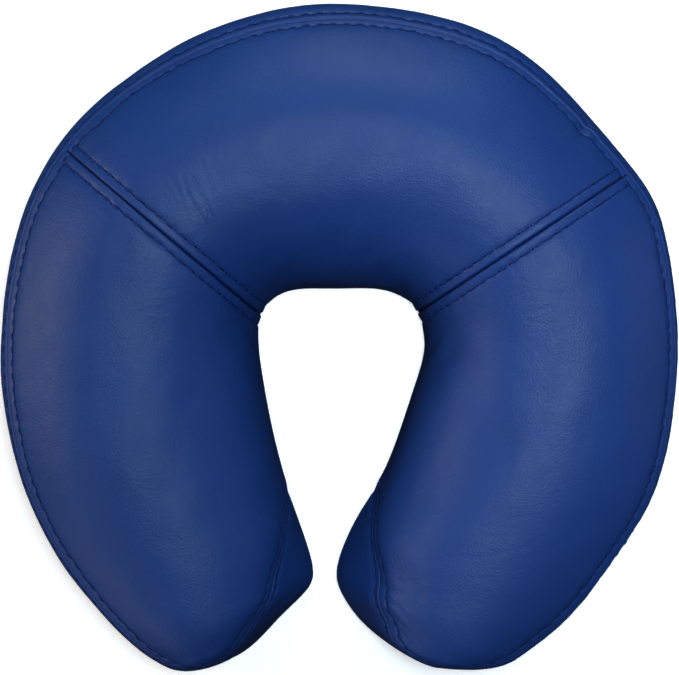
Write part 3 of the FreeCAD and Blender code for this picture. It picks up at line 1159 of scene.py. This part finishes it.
CAMERA_HEIGHT = 1400.0
PLANE_OF_SILHOUETTE = 26.0  # the cushion is widest at this height
FRAME_WIDTH = 307.5  # how much of that plane the picture takes in
FLOOR_REACH = 3.0  # in metres, like the rest of the studio
FLOOR_Z = -0.0005


def area_light(name, place, target, size, power, colour, spread=180):
    light = bpy.data.lights.new(name, "AREA")
    light.shape = "DISK"
    light.size = size
    light.energy = power
    light.color = colour
    light.spread = math.radians(spread)
    lamp = bpy.data.objects.new(name, light)
    lamp.location = place
    lamp.rotation_mode = "QUATERNION"
    lamp.rotation_quaternion = (Vector(target) - Vector(place)).to_track_quat("-Z", "Y")
    bpy.context.scene.collection.objects.link(lamp)


def light_sky(world):
    """Soft even light from above, and little from below, where a floor would be in shade."""
    tree = world.node_tree
    place = tree.nodes.new("ShaderNodeTexCoord").outputs["Generated"]
    split = tree.nodes.new("ShaderNodeSeparateXYZ")
    tree.links.new(place, split.inputs[0])
    rising = tree.nodes.new("ShaderNodeMapRange")
    for name, value in (("From Min", -0.15), ("From Max", 0.6), ("To Min", 0.016), ("To Max", 0.21)):
        rising.inputs[name].default_value = value
    tree.links.new(split.outputs["Z"], rising.inputs["Value"])
    back = tree.nodes["Background"]
    back.inputs["Color"].default_value = (1.0, 0.93, 0.86, 1)
    tree.links.new(rising.outputs["Result"], back.inputs["Strength"])


def make_floor():
    """A pale floor that glows a little, and that the leather neither reflects nor takes light from."""
    mesh = bpy.data.meshes.new("studio_floor")
    turns = ((-1, -1), (1, -1), (1, 1), (-1, 1))
    corners = [(x * FLOOR_REACH, y * FLOOR_REACH, FLOOR_Z) for x, y in turns]
    mesh.from_pydata(corners, [], [(0, 1, 2, 3)])
    mesh.materials.append(floor_material())
    floor = bpy.data.objects.new("studio_floor", mesh)
    bpy.context.scene.collection.objects.link(floor)
    floor.visible_diffuse = False
    floor.visible_glossy = False


def make_studio():
    """The floor, the lights, and a camera straight above."""
    make_floor()
    scene = bpy.context.scene
    world = bpy.data.worlds.new("studio")
    world.use_nodes = True
    light_sky(world)
    scene.world = world
    area_light("overhead", (0.12, 0.05, 1.3), (0.10, 0.03, 0), 0.3, 0.90, (0.63, 0.84, 1.0), 40)
    area_light("behind", (0.1, 1.0, 0.40), (0, 0, 0.05), 0.6, 5.7, (0.80, 1.0, 1.0))
    area_light("left", (-1.0, 0.1, 0.30), (0, 0, 0.05), 0.5, 5.4, (1.0, 0.88, 0.72))
    area_light("right", (1.0, 0.1, 0.18), (0, 0, 0.05), 0.5, 1.0, (1.0, 0.95, 0.9))
    area_light("front", (-0.75, -0.7, 0.22), (0, 0, 0.05), 0.5, 1.6, (1.0, 0.85, 0.8))
    scene.view_settings.view_transform = "Standard"
    camera = bpy.data.cameras.new("camera")
    camera.sensor_width = 36.0
    camera.lens = camera.sensor_width * (CAMERA_HEIGHT - PLANE_OF_SILHOUETTE) / FRAME_WIDTH
    camera.clip_start, camera.clip_end = 0.05, 20.0
    viewer = bpy.data.objects.new("camera", camera)
    viewer.location = (MIDDLE_X * MM, MIDDLE_Y * MM, CAMERA_HEIGHT * MM)
    scene.collection.objects.link(viewer)
    scene.camera = viewer


make_cover()
make_band_stitches()
make_seam_stitches()
make_seam_folds()
make_foam()
finish_strips()
make_studio()
